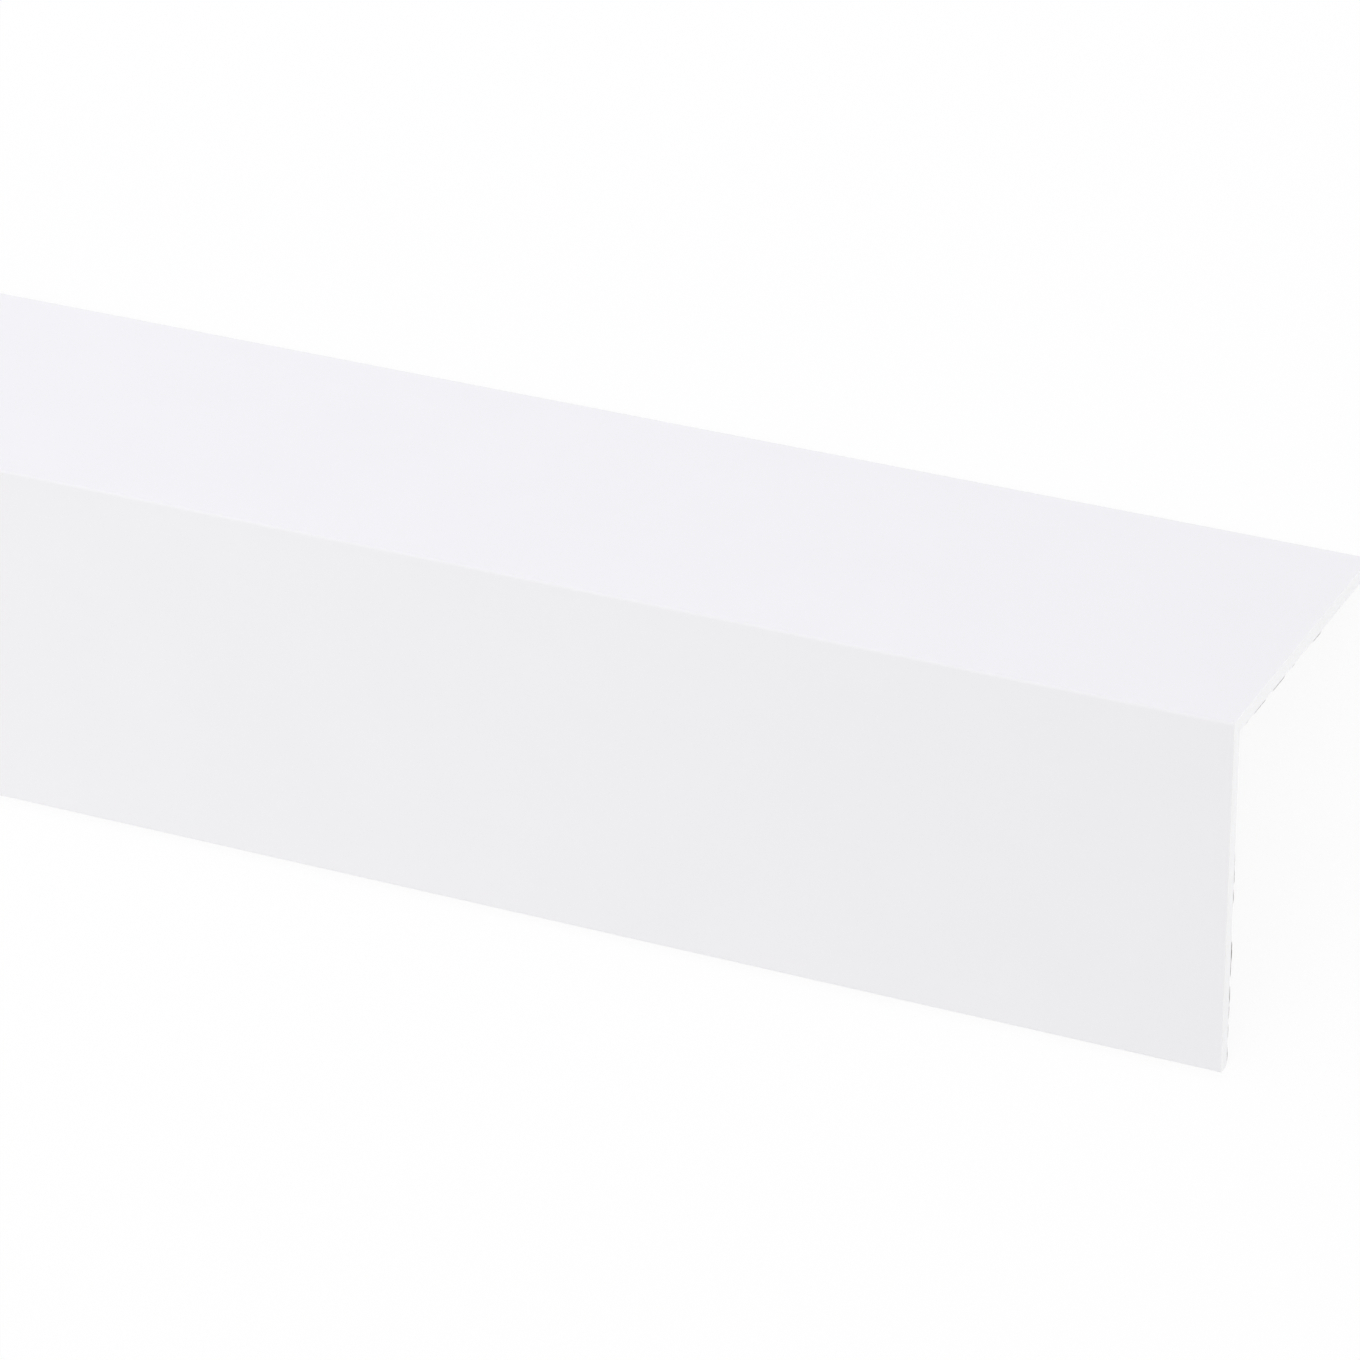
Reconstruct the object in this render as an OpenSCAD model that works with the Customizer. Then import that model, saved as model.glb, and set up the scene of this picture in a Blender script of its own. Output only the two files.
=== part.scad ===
// Extruded PVC angle profile: an L section with two equal legs, sawn square to a stock length.
// The bar lies along X with its ridge up, and rests on the tips of both legs at Z = 0.

/* [Section] */
// Width of each leg, measured on its outer face
leg_w = 50; // [15:1:100]
// Wall thickness of both legs
wall_t = 2; // [1:0.1:4]

/* [Edges] */
// Radius of the outer corner, which forms the ridge
ridge_r = 0.5; // [0.2:0.1:1]
// Radius of the fillet in the inner corner
fillet_r = 0.2; // [0.1:0.05:2]
// Radius on both edges of each leg's tip
tip_r = 0.4; // [0.1:0.05:0.45]

/* [Stock] */
// Sawn length of the bar
bar_l = 1000; // [100:50:3000]

/* [Hidden] */
$fn = 64;

// Slope of both legs with the ridge up, so that they meet at a right angle
leg_slope = 45;
// Height of the outer corner, as if it were sharp, over the lowest points of the rounded tips
apex_h = (leg_w + wall_t - 2 * tip_r) * sin(leg_slope) + tip_r;

// What an arc of radius r takes off a square corner at the origin.
// It starts one radius outside the corner, so that it cuts clean through the edge.
module corner_waste(r) {
    difference() {
        translate([-r, -r]) square(2 * r);
        translate([r, r]) circle(r);
    }
}

// Square with one corner, the one at the origin, rounded
module rounded_corner_square(side, r) {
    difference() {
        square(side);
        corner_waste(r);
    }
}

// Draws its children for the leg along +X, and mirrored for the leg along +Y
module for_both_legs() {
    children();
    mirror([1, -1]) children();
}

// Cross-section with the outer corner at the origin and the legs along +X and +Y
module section() {
    difference() {
        rounded_corner_square(leg_w, ridge_r);
        translate([wall_t, wall_t]) rounded_corner_square(leg_w, fillet_r);
        for_both_legs() {
            translate([leg_w, 0]) rotate(90) corner_waste(tip_r);
            translate([leg_w, wall_t]) rotate(180) corner_waste(tip_r);
        }
    }
}

module angle_profile() {
    color("#F0EFF3")
        translate([0, 0, apex_h])
            rotate([90, 0, 90])
                linear_extrude(bar_l, center = true)
                    rotate(-90 - leg_slope) section();
}

angle_profile();
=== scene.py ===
import math

import bpy
from mathutils import Matrix, Vector, noise


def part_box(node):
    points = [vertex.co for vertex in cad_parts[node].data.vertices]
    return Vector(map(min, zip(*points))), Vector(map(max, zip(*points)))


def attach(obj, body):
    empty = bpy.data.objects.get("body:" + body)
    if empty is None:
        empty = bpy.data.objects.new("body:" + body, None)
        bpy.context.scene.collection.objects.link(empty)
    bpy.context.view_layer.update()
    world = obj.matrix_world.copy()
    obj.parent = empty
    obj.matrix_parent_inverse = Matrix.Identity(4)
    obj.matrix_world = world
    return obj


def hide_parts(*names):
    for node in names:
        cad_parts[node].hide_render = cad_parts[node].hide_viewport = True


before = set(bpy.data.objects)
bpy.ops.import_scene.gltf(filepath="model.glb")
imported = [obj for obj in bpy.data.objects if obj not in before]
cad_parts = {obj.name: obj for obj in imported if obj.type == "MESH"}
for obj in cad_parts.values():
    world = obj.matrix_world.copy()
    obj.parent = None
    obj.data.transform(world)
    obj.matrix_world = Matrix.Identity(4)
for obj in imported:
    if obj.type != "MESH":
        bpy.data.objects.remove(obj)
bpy.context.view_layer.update()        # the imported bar, which stays as it is, in metres
scene = bpy.context.scene
scene.view_settings.view_transform = "Standard"
mm = 0.001


def linear(hexColour):
    # sRGB hex to the linear colour that the nodes take
    parts = [int(hexColour[i:i + 2], 16) / 255 for i in (1, 3, 5)]
    return [p / 12.92 if p <= 0.04045 else ((p + 0.055) / 1.055) ** 2.4 for p in parts] + [1.0]


def addNode(tree, kind, settings=None, links=None):
    # settings are the node's own options or its sockets, links go from an output to a socket
    node = tree.nodes.new(kind)
    for name, value in (settings or {}).items():
        if isinstance(name, str) and hasattr(node, name):
            setattr(node, name, value)
        else:
            node.inputs[name].default_value = value
    for name, source in (links or {}).items():
        tree.links.new(source, node.inputs[name])
    return node


def emptyTree(owner):
    owner.use_nodes = True
    owner.node_tree.nodes.clear()
    return owner.node_tree


# Section of the extrusion, as in the part's source

profile = {
    "legWidth": 50 * mm,         # outer face of each leg, from the corner
    "wall": 2 * mm,
    "ridgeRadius": 0.5 * mm,     # outer corner
    "filletRadius": 0.2 * mm,    # inner corner
    "tipRadius": 0.4 * mm,       # both edges of each leg's tip
    "slope": math.radians(45),   # each leg falls away from the ridge at this angle
    "ridgeSteps": 6,             # facets on half of the ridge, and of the fillet
    "tipSteps": 6,               # facets on each edge of a tip
    "faceStep": 0.5 * mm,        # spacing of points across the flat faces
    "ringStep": 20 * mm,         # spacing of sections along the bar
}

barLow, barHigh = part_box("angle_profile")
barLength = barHigh.x - barLow.x
# height of the outer corner as if it were sharp
cornerHeight = barHigh.z + profile["ridgeRadius"] * (math.sqrt(2) - 1)

# The saw rounds the edges of its cut a little. Where the teeth leave the wall, on the inner side,
# they tear up a thin ragged burr, in short runs.

rightEnd, leftEnd = 1, -1
backLeg, frontLeg = 1, -1

sawCut = {
    "edgeRound": 0.12 * mm,
    "roundSteps": 3,
    "burrGrain": 0.8 * mm,       # spacing of the burr's tears
    "burrLevel": 0.8,            # mean height along a run, as a share of how tall it is
    "burrUneven": 0.6,           # how far the tears stray from that, at most
    # each run: where it starts and stops, from the inner corner, and how tall it is, all in mm
    "burrRuns": {
        (rightEnd, backLeg): [
            (1.6, 3.2, 0.07), (4.8, 9.5, 0.1), (11.4, 16.3, 0.12), (18.2, 20, 0.06), (26.1, 29.6, 0.11)],
        (rightEnd, frontLeg): [
            (17.2, 19.2, 0.1), (19, 22, 0.14), (22.2, 24.6, 0.2), (29.7, 32.9, 0.38), (32.2, 35.2, 0.2),
            (36.2, 39.2, 0.23), (38.8, 41.2, 0.14), (41.6, 44.2, 0.1), (45.2, 47.6, 0.16)],
        (leftEnd, backLeg): [(17, 21, 0.12), (31, 38, 0.08)],
        (leftEnd, frontLeg): [(5, 11, 0.16), (22, 24.5, 0.11)],
    },
}


def arcPoints(centre, radius, start, stop, steps):
    # points of a round edge with the way each one faces
    points = []
    for i in range(steps + 1):
        angle = math.radians(start + (stop - start) * i / steps)
        facing = Vector((math.cos(angle), math.sin(angle)))
        points.append((Vector(centre) + radius * facing, facing))
    return points


def facePoints(start, stop, depth, facing, steps):
    # points between two round edges, without the edges' own points
    return [(Vector((start + (stop - start) * i / steps, depth)), Vector(facing))
            for i in range(1, steps)]


def legSides():
    # Outer and inner side of one leg, from the corner to the tip, point facing point.
    # The first number runs along the leg, the second from the outer face into the wall.
    width, wall, tip = profile["legWidth"], profile["wall"], profile["tipRadius"]
    ridge, fillet = profile["ridgeRadius"], profile["filletRadius"]
    steps = round(width / profile["faceStep"])
    outer = arcPoints((ridge, ridge), ridge, 225, 270, profile["ridgeSteps"])
    outer += facePoints(ridge, width - tip, 0, (0, -1), steps)
    outer += arcPoints((width - tip, tip), tip, 270, 360, profile["tipSteps"])
    centre = wall + fillet
    inner = [(p, -n) for p, n in arcPoints((centre, centre), fillet, 225, 270, profile["ridgeSteps"])]
    inner += facePoints(centre, width - tip, wall, (0, 1), steps)
    inner += arcPoints((width - tip, wall - tip), tip, 90, 0, profile["tipSteps"])
    return outer, inner


def standUp(vector, leg):
    # from a leg's own two numbers to Y and Z with the ridge up
    cos, sin = math.cos(profile["slope"]), math.sin(profile["slope"])
    return Vector((leg * (vector.x * cos - vector.y * sin), -vector.x * sin - vector.y * cos))


def burrAt(end, leg, fromCorner):
    # height of the burr: it swells over one tear at both ends of a run, and is ragged between them
    height = 0
    for start, stop, tall in sawCut["burrRuns"][end, leg]:
        swell = min(fromCorner - start * mm, stop * mm - fromCorner) / sawCut["burrGrain"]
        if swell > 0:
            tear = noise.noise((fromCorner / sawCut["burrGrain"], end, leg))
            ragged = sawCut["burrLevel"] + sawCut["burrUneven"] * tear
            height = max(height, tall * mm * min(swell, 1) * ragged)
    return height


def sectionLoop():
    # Once round the section: over the outer faces from the front tip to the back tip, and back inside.
    # Each point has its place, the way it faces, and the burr that each cut leaves there.
    outer, inner = legSides()
    outside = [(frontLeg, *p) for p in outer[:0:-1]] + [(backLeg, *p) for p in outer]
    inside = [(backLeg, *p) for p in inner[::-1]] + [(frontLeg, *p) for p in inner[1:]]
    top = Vector((0, cornerHeight))
    loop = [(top + standUp(p, leg), standUp(n, leg), {rightEnd: 0, leftEnd: 0}) for leg, p, n in outside]
    for leg, p, n in inside:
        burr = {end: burrAt(end, leg, p.x - profile["wall"]) for end in (rightEnd, leftEnd)}
        loop.append((top + standUp(p, leg), standUp(n, leg), burr))
    return loop


def ringStations():
    # Each ring: its place along the bar, the end whose cut it belongs to, or 0 between the cuts,
    # and how far round the cut's edge it is.
    edge, steps = sawCut["edgeRound"], sawCut["roundSteps"]
    count = round(barLength / profile["ringStep"])
    straight = barLength - 2 * edge
    rings = [(barLow.x + edge + straight * i / count, 0, 0) for i in range(count + 1)]
    turns = [math.pi / 2 * i / steps for i in range(1, steps + 1)]
    right = [(barHigh.x - edge * (1 - math.sin(turn)), rightEnd, turn) for turn in turns]
    left = [(barLow.x + edge * (1 - math.sin(turn)), leftEnd, turn) for turn in reversed(turns)]
    return left + rings + right


def ringPoint(loopPoint, station):
    # place and facing of one point of the section at one ring
    place, facing, burr = loopPoint
    x, end, turn = station
    inset = sawCut["edgeRound"] * (1 - math.cos(turn))
    along, across = end * math.sin(turn), math.cos(turn)
    if end and burr[end]:
        # a burr stands straight out from the inner face, and thins towards the plane of the cut
        inset = -burr[end] * math.sin(turn)
        lean = math.atan2(burr[end], sawCut["edgeRound"])
        along, across = -end * math.sin(lean), math.cos(lean)
    drawn = place - inset * facing
    return (x, drawn.x, drawn.y), (along, facing.x * across, facing.y * across)


# Map of the skin. The sides of the bar take the lower part, up to skinTop. Over it each cut has a band for
# its thin edge and burr, wide enough to keep their colours, and a band for its flat face.

mapBands = {
    "skinTop": 0.92,
    "cutEdge": {leftEnd: (0.928, 0.938), rightEnd: (0.944, 0.954)},
    "cutFace": {leftEnd: (0.961, 0.976), rightEnd: (0.983, 0.998)},
}


def lengthsRound(loop):
    # length round the section up to each point, and at the end back to the first
    girth = [0]
    for i in range(len(loop)):
        girth.append(girth[-1] + (loop[(i + 1) % len(loop)][0] - loop[i][0]).length)
    return girth


def sideFaces(loop, stations, grid, girth):
    # Faces between each ring and the next, all round. Each one: its points, the way they face, their
    # places on the map, and whether the saw made it.
    size, last = len(loop), len(stations) - 1
    share = [(station[0] - barLow.x) / barLength for station in stations]
    faces = []
    for r in range(last):
        cutEnd = stations[r][1] or stations[r + 1][1]
        for i in range(size):
            corners = ((r, i + 1), (r, i), (r + 1, i), (r + 1, i + 1))
            points = [ring * size + p % size for ring, p in corners]
            if cutEnd:
                low, high = mapBands["cutEdge"][cutEnd]
                rise = (high - low) / sawCut["roundSteps"]
                places = [(girth[p] / girth[-1], low + rise * min(ring, last - ring))
                          for ring, p in corners]
            else:
                places = [(share[ring], mapBands["skinTop"] * girth[p] / girth[-1])
                          for ring, p in corners]
            faces.append((points, [grid[point][1] for point in points], places, bool(cutEnd)))
    return faces


def endFaces(loop, stations, girth):
    # faces that close both ends, from the outer side of the wall to the inner one, listed in the same way
    size, half = len(loop), len(loop) // 2
    faces = []
    for ring, end in ((0, leftEnd), (len(stations) - 1, rightEnd)):
        low, high = mapBands["cutFace"][end]
        for i in range(half - 1):
            corners = [(i, low), (size - 1 - i, high), (size - 2 - i, high), (i + 1, low)]
            corners = corners[::-1] if end == leftEnd else corners
            points = [ring * size + p for p, v in corners]
            places = [(girth[min(p, size - 1 - p)] / girth[half - 1], v) for p, v in corners]
            faces.append((points, [(end, 0, 0)] * len(points), places, True))
    return faces


def buildProfile():
    loop, stations = sectionLoop(), ringStations()
    grid = [ringPoint(p, station) for station in stations for p in loop]
    girth = lengthsRound(loop)
    faces = sideFaces(loop, stations, grid, girth) + endFaces(loop, stations, girth)
    points, facings, places, sawn = zip(*faces)
    mesh = bpy.data.meshes.new("angle_profile_extrusion")
    mesh.from_pydata([place for place, facing in grid], [], points)
    mesh.polygons.foreach_set("use_smooth", [True] * len(faces))
    mesh.polygons.foreach_set("material_index", [int(cut) for cut in sawn])
    uvMap = mesh.uv_layers.new(name="OFBake")      # lengthwise lines stay straight and sharp on this map
    uvMap.uv.foreach_set("vector", [c for face in places for place in face for c in place])
    mesh.normals_split_custom_set([facing for face in facings for facing in face])
    mesh.update()
    piece = bpy.data.objects.new("angle_profile_extrusion", mesh)
    scene.collection.objects.link(piece)
    print("profile:", len(grid), "points,", len(faces), "faces")
    return piece


# Rigid PVC as it leaves the die: a dense white plastic with a satin skin, which shows broad soft
# reflections and, close to, faint straight lines that the die has drawn along the bar.

extrudedLook = {
    "pale": "#F2F1F4", "deep": "#F0EFF2",
    "roughness": (0.36, 0.44),
    "ior": 1.53,
    "lineWidths": (0.9 * mm, 0.3 * mm),   # die lines, drawn wider than real ones so that they show
    "lineLength": 700 * mm,
    "lineDepth": 0.004 * mm,
    "fineShare": 0.5,                     # what the narrow lines count for beside the wide ones
    "lineSpan": (0.4, 1.1),               # sum of both where the skin is smoothest and where it is dullest
    "mottleWidth": 14 * mm,               # slow unevenness of the skin
}


def extrudedPvc():
    material = bpy.data.materials.new("extruded rigid PVC")
    tree = emptyTree(material)
    place = addNode(tree, "ShaderNodeTexCoord").outputs["Object"]
    along = 1 / extrudedLook["lineLength"]
    lines = []
    for width in extrudedLook["lineWidths"]:
        stretched = addNode(tree, "ShaderNodeVectorMath",
                            {"operation": "MULTIPLY", 1: (along, 1 / width, 1 / width)}, {0: place})
        lines.append(addNode(tree, "ShaderNodeTexNoise", {"Scale": 1, "Detail": 2, "Roughness": 0.5},
                             {"Vector": stretched.outputs[0]}).outputs["Fac"])
    wide, fine = lines
    drawn = addNode(tree, "ShaderNodeMath", {"operation": "MULTIPLY_ADD", 1: extrudedLook["fineShare"]},
                    {0: fine, 2: wide}).outputs[0]
    mottle = addNode(tree, "ShaderNodeTexNoise", {"Scale": 1 / extrudedLook["mottleWidth"], "Detail": 2},
                     {"Vector": place}).outputs["Fac"]
    # sockets 0, 6 and 7 are the mix node's factor and its two colours
    deep, pale = linear(extrudedLook["deep"]), linear(extrudedLook["pale"])
    tint = addNode(tree, "ShaderNodeMix", {"data_type": "RGBA", 6: deep, 7: pale}, {0: mottle})
    low, high = extrudedLook["lineSpan"]
    smooth, dull = extrudedLook["roughness"]
    gloss = addNode(tree, "ShaderNodeMapRange", {
        "From Min": low, "From Max": high, "To Min": smooth, "To Max": dull}, {"Value": drawn})
    relief = addNode(tree, "ShaderNodeBump", {"Strength": 1, "Distance": extrudedLook["lineDepth"]},
                     {"Height": drawn})
    shader = addNode(tree, "ShaderNodeBsdfPrincipled", {"IOR": extrudedLook["ior"]}, {
        "Base Color": tint.outputs[2], "Roughness": gloss.outputs[0], "Normal": relief.outputs[0]})
    addNode(tree, "ShaderNodeOutputMaterial", links={"Surface": shader.outputs[0]})
    return material


# Rigid PVC as the saw leaves it: dull, a little whiter than the skin, with fine curved tooth marks.
# The burr and the cut's inner edge are painted grey: painted shade, as they face the shaded hollow.

sawnLook = {
    # the burr colour is painted shade, a dark grey for the burr and the cut's inner edge as if in shadow
    "cut": "#F3F3F4", "burr": "#6A6664",
    "roughness": 0.7,
    "ior": 1.53,
    "toothPitch": 0.5 * mm,
    "toothDepth": 0.012 * mm,
    "toothWander": 1.5,          # how much the marks stray from true arcs
    "bladeRadius": 125 * mm,
    "shadeEdge": 0.03 * mm,       # the painted grey shade fades in over this much to each side of the inner face
}


def sawnPvc():
    material = bpy.data.materials.new("sawn rigid PVC")
    tree = emptyTree(material)
    place = addNode(tree, "ShaderNodeTexCoord").outputs["Object"]
    # height and distance from the middle add up to the same at one depth in the wall, on either leg
    axes = addNode(tree, "ShaderNodeSeparateXYZ", links={0: place}).outputs
    aside = addNode(tree, "ShaderNodeMath", {"operation": "ABSOLUTE"}, {0: axes["Y"]})
    depth = addNode(tree, "ShaderNodeMath", {"operation": "ADD"}, {0: axes["Z"], 1: aside.outputs[0]})
    innerFace = cornerHeight - profile["wall"] / math.sin(profile["slope"])
    fade = sawnLook["shadeEdge"] / math.sin(profile["slope"])
    # painted shade: grey past the inner face of the wall, over the burr, fading in across the inner edge
    paintedShade = addNode(tree, "ShaderNodeMapRange", {
        "From Min": innerFace + fade, "From Max": innerFace - fade}, {"Value": depth.outputs[0]})
    cut, burr = linear(sawnLook["cut"]), linear(sawnLook["burr"])
    tint = addNode(tree, "ShaderNodeMix", {"data_type": "RGBA", 6: cut, 7: burr}, {0: paintedShade.outputs[0]})
    fromBlade = addNode(tree, "ShaderNodeVectorMath", {
        "operation": "MULTIPLY_ADD", 1: (0, 1, 1), 2: (0, 0, sawnLook["bladeRadius"])}, {0: place})
    # the wave repeats every 2 pi / 20 of its scaled coordinate
    waveScale = 2 * math.pi / 20 / sawnLook["toothPitch"]
    marks = addNode(tree, "ShaderNodeTexWave", {
        "wave_type": "RINGS", "rings_direction": "SPHERICAL", "Scale": waveScale,
        "Distortion": sawnLook["toothWander"], "Detail": 2, "Detail Scale": 0.3},
        {"Vector": fromBlade.outputs[0]})
    relief = addNode(tree, "ShaderNodeBump", {"Strength": 1, "Distance": sawnLook["toothDepth"]},
                     {"Height": marks.outputs["Fac"]})
    shader = addNode(tree, "ShaderNodeBsdfPrincipled", {
        "Roughness": sawnLook["roughness"], "IOR": sawnLook["ior"]}, {
        "Base Color": tint.outputs[2], "Normal": relief.outputs[0]})
    addNode(tree, "ShaderNodeOutputMaterial", links={"Surface": shader.outputs[0]})
    return material


bar = buildProfile()
bar.data.materials.append(extrudedPvc())
bar.data.materials.append(sawnPvc())
print("materials:", ", ".join(material.name for material in bar.data.materials))
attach(bar, "root")
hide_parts("angle_profile")

# Camera. The angles are those at which the photo sees the bar, with one leg level and the other plumb.
# Here the bar lies with its ridge up, so the camera is turned about the bar with it.

view = {
    "lens": 170.95, "sensor": 36.0,
    "yaw": math.radians(-24.95), "pitch": math.radians(27.57), "roll": math.radians(-0.30),
    "barTurn": math.radians(-45),
    "imageSide": 1360,
    "ridgeEnd": (1234.95, 723.36),     # pixel of the ridge's near end
    "ridgeEndDistance": 0.791,         # along the view's axis
    "clip": (0.01, 100),
}


def addCamera():
    sinYaw, cosYaw = math.sin(view["yaw"]), math.cos(view["yaw"])
    sinPitch, cosPitch = math.sin(view["pitch"]), math.cos(view["pitch"])
    ahead = Vector((sinYaw * cosPitch, cosYaw * cosPitch, -sinPitch))
    level = Vector((cosYaw, -sinYaw, 0))
    upward = level.cross(ahead)
    right = math.cos(view["roll"]) * level + math.sin(view["roll"]) * upward
    turn = Matrix.Rotation(view["barTurn"], 3, "X")
    ahead, right = turn @ ahead, turn @ right
    up = right.cross(ahead)
    # how far the ridge's end lies right of the view's axis, and under it
    lensPixels = view["lens"] / view["sensor"] * view["imageSide"]
    halfSide = view["imageSide"] / 2
    offset = [(p - halfSide) / lensPixels * view["ridgeEndDistance"] for p in view["ridgeEnd"]]
    ridgeEnd = Vector((barHigh.x, 0, cornerHeight))
    data = bpy.data.cameras.new("camera")
    data.lens, data.sensor_width = view["lens"], view["sensor"]
    data.clip_start, data.clip_end = view["clip"]
    camera = bpy.data.objects.new("camera", data)
    place = ridgeEnd - right * offset[0] + up * offset[1] - ahead * view["ridgeEndDistance"]
    axes = Matrix((right, up, -ahead)).transposed().to_4x4()
    camera.matrix_world = Matrix.Translation(place) @ axes
    scene.collection.objects.link(camera)
    scene.camera = camera
    print("camera at", [round(c, 3) for c in place])


addCamera()

# Floor and light

stageLook = {
    "floorSide": 60.0,
    "floorColour": "#F7F7F7",
    "floorGlow": 0.92,            # share of plain white that the camera sees in the floor beside the bar
    "shadowReach": (0.3, 0.6),    # the floor turns plain white between these distances from the bar
    "roomLight": 0.7,
}


def whiteToEye(tree):
    # 1 for rays that come straight from the camera or by way of a gloss or a clear piece, else 0
    ray = addNode(tree, "ShaderNodeLightPath").outputs
    seen = ray["Is Camera Ray"]
    for kind in ("Is Glossy Ray", "Is Transmission Ray"):
        either = addNode(tree, "ShaderNodeMath", {"operation": "MAXIMUM"}, {0: seen, 1: ray[kind]})
        seen = either.outputs[0]
    return seen


def whitePaper():
    # dull white that keeps the bar's shadow near it, and looks plain white farther out
    material = bpy.data.materials.new("white paper floor")
    tree = emptyTree(material)
    # distance from the bar, past its ends or to a side
    place = addNode(tree, "ShaderNodeTexCoord").outputs["Object"]
    aside = addNode(tree, "ShaderNodeVectorMath", {"operation": "ABSOLUTE"}, {0: place})
    past = addNode(tree, "ShaderNodeVectorMath", {"operation": "SUBTRACT", 1: (barLength / 2, 0, 0)},
                   {0: aside.outputs[0]})
    outside = addNode(tree, "ShaderNodeVectorMath", {"operation": "MAXIMUM"}, {0: past.outputs[0]})
    away = addNode(tree, "ShaderNodeVectorMath", {"operation": "LENGTH"}, {0: outside.outputs[0]})
    near, far = stageLook["shadowReach"]
    glow = addNode(tree, "ShaderNodeMapRange", {
        "interpolation_type": "SMOOTHSTEP", "From Min": near, "From Max": far,
        "To Min": stageLook["floorGlow"], "To Max": 1}, {"Value": away.outputs["Value"]})
    share = addNode(tree, "ShaderNodeMath", {"operation": "MULTIPLY"},
                    {0: glow.outputs[0], 1: whiteToEye(tree)})
    paper = addNode(tree, "ShaderNodeBsdfDiffuse", {"Color": linear(stageLook["floorColour"])})
    white = addNode(tree, "ShaderNodeEmission", {"Strength": 1.0})
    mixed = addNode(tree, "ShaderNodeMixShader",
                    links={0: share.outputs[0], 1: paper.outputs[0], 2: white.outputs[0]})
    addNode(tree, "ShaderNodeOutputMaterial", links={"Surface": mixed.outputs[0]})
    return material


def addFloor():
    half = stageLook["floorSide"] / 2
    corners = [(-half, -half, 0), (half, -half, 0), (half, half, 0), (-half, half, 0)]
    mesh = bpy.data.meshes.new("floor")
    mesh.from_pydata(corners, [], [(0, 1, 2, 3)])
    mesh.materials.append(whitePaper())
    floor = bpy.data.objects.new("floor", mesh)
    scene.collection.objects.link(floor)
    print("floor:", stageLook["floorSide"], "m to a side")


def lightWorld():
    world = bpy.data.worlds.new("white studio")
    scene.world = world
    tree = emptyTree(world)
    plain = (1, 1, 1, 1)
    room = addNode(tree, "ShaderNodeBackground", {"Color": plain, "Strength": stageLook["roomLight"]})
    white = addNode(tree, "ShaderNodeBackground", {"Color": plain, "Strength": 1.0})
    mixed = addNode(tree, "ShaderNodeMixShader",
                    links={0: whiteToEye(tree), 1: room.outputs[0], 2: white.outputs[0]})
    addNode(tree, "ShaderNodeOutputWorld", links={"Surface": mixed.outputs[0]})


# Each lamp: where it hangs from the middle of the bar, its two sides, and about what it adds to a white
# face that is turned to it. The overhead and front ones run along the bar, so that both ends are lit alike.

lamps = {
    "overhead": {"place": (0, 0.21, 0.43), "sides": (1.4, 0.4), "adds": 0.685, "colour": "#FAFAFF"},
    "front": {"place": (0, -0.63, 0.25), "sides": (1.0, 0.3), "adds": 0.23, "colour": "#FFFEF7"},
    "right_end": {"place": (2.2, 0, 0.3), "sides": (1.2, 0.4), "adds": 0.14, "colour": "#FFFFFF"},
    "left_end": {"place": (-2.2, 0, 0.3), "sides": (1.2, 0.4), "adds": 0.14, "colour": "#FFFFFF"},
}


def addLamps():
    middle = Vector((0, 0, cornerHeight / 2))
    for name, lamp in lamps.items():
        reach = Vector(lamp["place"])
        data = bpy.data.lights.new("lamp_" + name, "AREA")
        data.shape = "RECTANGLE"
        data.size, data.size_y = lamp["sides"]
        data.color = linear(lamp["colour"])[:3]
        # power at which a small lamp, that far off, lights a white face by that much
        data.energy = lamp["adds"] * math.pi ** 2 * reach.length_squared
        light = bpy.data.objects.new("lamp_" + name, data)
        light.location = middle + reach
        light.rotation_mode = "QUATERNION"
        light.rotation_quaternion = (-reach).to_track_quat("-Z", "Y")
        light.visible_camera = False
        light.visible_glossy = False      # the white room, which gloss shows, stands for the lamps there
        scene.collection.objects.link(light)
    print("lamps:", ", ".join(lamps))


addFloor()
lightWorld()
addLamps()
